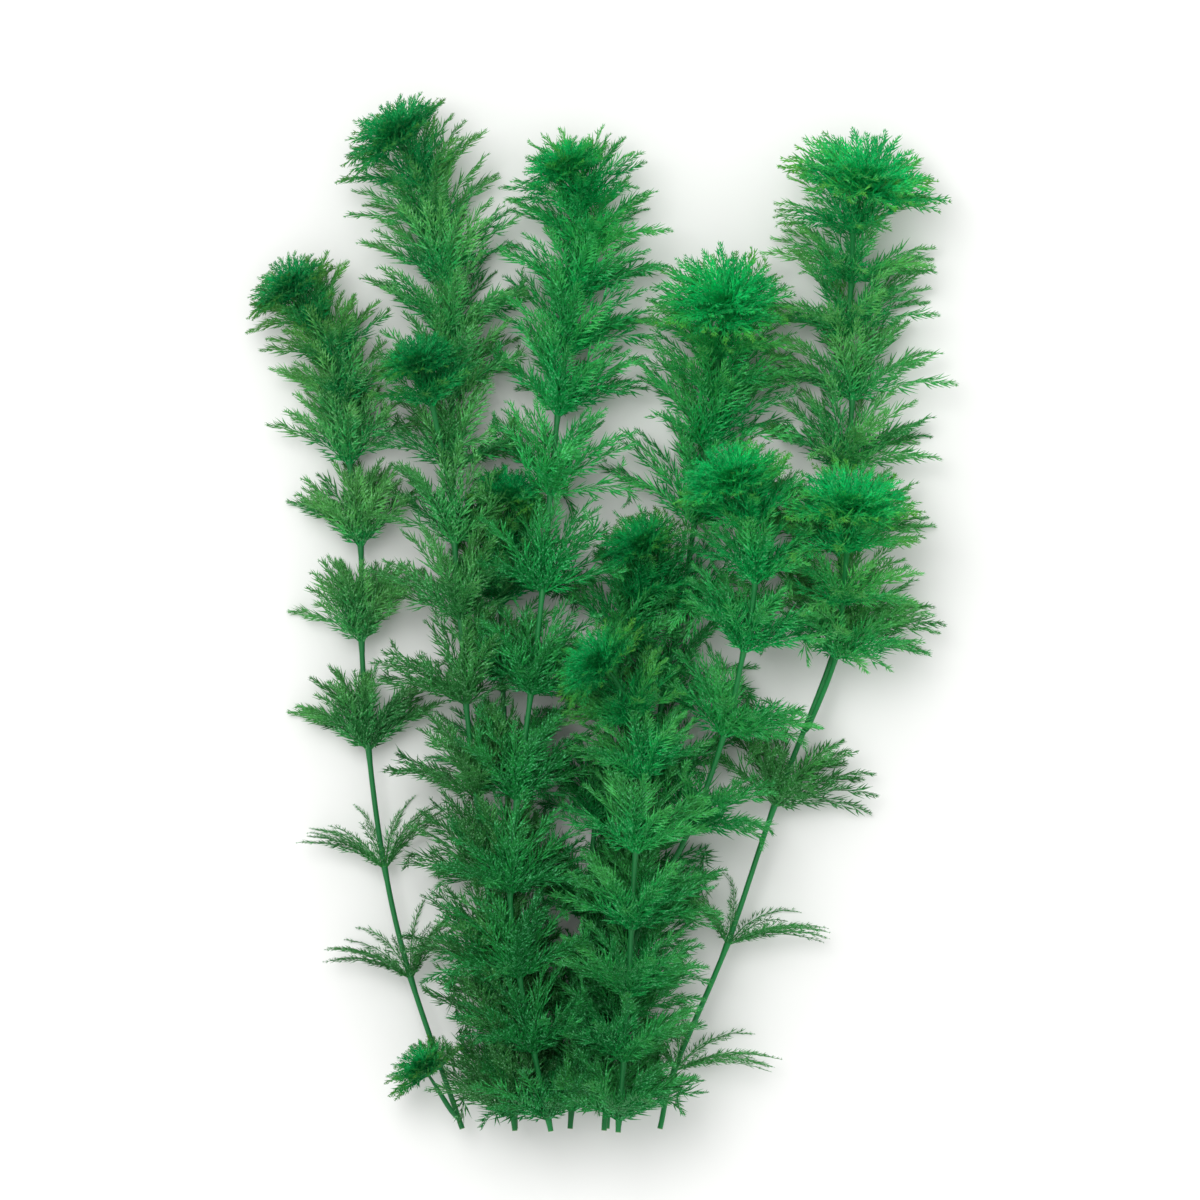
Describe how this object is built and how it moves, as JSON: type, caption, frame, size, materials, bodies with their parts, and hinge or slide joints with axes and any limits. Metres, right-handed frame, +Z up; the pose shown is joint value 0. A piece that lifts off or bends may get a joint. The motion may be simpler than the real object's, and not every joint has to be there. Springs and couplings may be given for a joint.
{
  "type": "giant ambulia, a cut bunch of aquarium plant shoots",
  "caption": "Cut bunch of leafy aquarium plant shoots lying flat, with whorls of feathery leaves round each stem and a rosette at each tip.",
  "frame": {"origin": "on the surface that the bunch lies on, at the middle of its length and width", "axes": "+Y along the shoots towards their growing tips, +X to the right seen from above, +Z up from the surface"},
  "size_m": [0.3482, 0.5204, 0.1144],
  "materials": {
    "stem": "smooth green stem, slightly glossy when wet",
    "leaf": "finely divided feathery leaf, satin, paler at its tip",
    "rosette": "dense young leaves, deep green at the heart and yellow-green at the rim"
  },
  "bodies": {
    "root": {"foot_side_rosette": "rosette", "foot_side_stem": "stem", "inner_left_rosette": "rosette", "inner_left_stem": "stem", "inner_left_whorl_1": "leaf", "inner_middle_rosette": "rosette", "inner_middle_stem": "stem", "inner_middle_whorl_1": "leaf", "inner_middle_whorl_2": "leaf", "inner_right_rosette": "rosette", "inner_right_stem": "stem", "inner_right_whorl_1": "leaf", "inner_right_whorl_2": "leaf", "inner_right_whorl_3": "leaf", "low_front_rosette": "rosette", "low_front_stem": "stem", "low_front_whorl_1": "leaf", "low_front_whorl_2": "leaf", "low_front_whorl_3": "leaf", "outer_left_rosette": "rosette", "outer_left_stem": "stem", "outer_left_whorl_1": "leaf", "outer_left_whorl_2": "leaf", "outer_left_whorl_3": "leaf", "outer_left_whorl_4": "leaf", "outer_left_whorl_5": "leaf", "outer_left_whorl_6": "leaf", "outer_left_whorl_7": "leaf", "right_middle_rosette": "rosette", "right_middle_stem": "stem", "right_middle_whorl_1": "leaf", "right_middle_whorl_2": "leaf", "right_middle_whorl_3": "leaf", "right_middle_whorl_4": "leaf", "side_left_rosette": "rosette", "side_left_stem": "stem", "side_right_rosette": "rosette", "side_right_stem": "stem", "tall_left_rosette": "rosette", "tall_left_stem": "stem", "tall_left_whorl_1": "leaf", "tall_left_whorl_2": "leaf", "tall_left_whorl_3": "leaf", "tall_left_whorl_4": "leaf", "tall_left_whorl_5": "leaf", "tall_middle_rosette": "rosette", "tall_middle_stem": "stem", "tall_middle_whorl_1": "leaf", "tall_middle_whorl_2": "leaf", "tall_middle_whorl_3": "leaf", "tall_middle_whorl_4": "leaf", "tall_middle_whorl_5": "leaf", "tall_right_rosette": "rosette", "tall_right_stem": "stem", "tall_right_whorl_1": "leaf", "tall_right_whorl_2": "leaf", "tall_right_whorl_3": "leaf", "tall_right_whorl_4": "leaf", "tall_right_whorl_5": "leaf", "tall_right_whorl_6": "leaf"}
  },
  "joints": []
}
